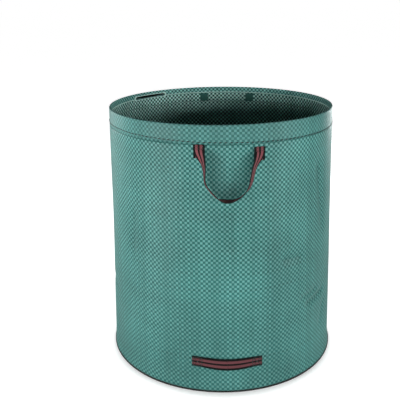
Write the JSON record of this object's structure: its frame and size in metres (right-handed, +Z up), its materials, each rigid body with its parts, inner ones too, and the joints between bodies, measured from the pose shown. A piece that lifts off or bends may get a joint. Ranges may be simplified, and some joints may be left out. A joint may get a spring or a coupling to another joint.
{
  "type": "garden leaf bag",
  "caption": "Round self-standing garden leaf bag of woven cloth with a hoop in its top hem, webbing carrying loops and a low strap for tipping it out.",
  "frame": {"origin": "middle of the base's underside, on the ground", "axes": "+Z up along the bag's axis, -Y towards the front, where the tipping strap is, +X to the viewer's right"},
  "size_m": [0.693, 0.742, 0.76],
  "materials": {
    "woven_cloth": "woven tape, slight sheen",
    "hoop_plastic": "matte black",
    "striped_webbing": "matte webbing, black with two dusty red stripes",
    "binding_tape": "matte tape",
    "stitched_patch": "matte, closely stitched"
  },
  "bodies": {
    "base": {"side_wall": "woven_cloth", "base_panel": "woven_cloth", "base_binding": "binding_tape", "dump_handle_left_end": "striped_webbing", "dump_handle_right_end": "striped_webbing"},
    "rim": {"top_hem": "woven_cloth", "support_hoop": "hoop_plastic", "hoop_joiner": "hoop_plastic", "front_handle_left_end": "striped_webbing", "front_handle_right_end": "striped_webbing", "front_left_hem_patch": "stitched_patch", "front_right_hem_patch": "stitched_patch", "rear_handle_left_end": "striped_webbing", "rear_handle_right_end": "striped_webbing", "rear_left_hem_patch": "stitched_patch", "rear_right_hem_patch": "stitched_patch"},
    "front_handle": {"front_handle_loop": "striped_webbing"},
    "rear_handle": {"rear_handle_loop": "striped_webbing"},
    "dump_handle": {"dump_handle_grip": "striped_webbing"}
  },
  "joints": [
    {"name": "collapse", "type": "slide", "parent": "base", "child": "rim", "axis": [0, 0, 1], "range_m": [-0.43, 0], "deforming": ["side_wall"]},
    {"name": "front_handle_swing", "type": "hinge", "parent": "rim", "child": "front_handle", "pos_m": [0.02324, -0.33241, 0.688], "axis": [-0.9976, -0.0698, 0], "range_deg": [0, 140]},
    {"name": "rear_handle_swing", "type": "hinge", "parent": "rim", "child": "rear_handle", "pos_m": [0.02324, 0.33241, 0.688], "axis": [0.9976, -0.0698, 0], "range_deg": [0, 140]},
    {"name": "dump_handle_swing", "type": "hinge", "parent": "base", "child": "dump_handle", "pos_m": [0.01598, -0.33881, 0.106], "axis": [-0.9989, -0.0471, 0], "range_deg": [0, 40]}
  ]
}
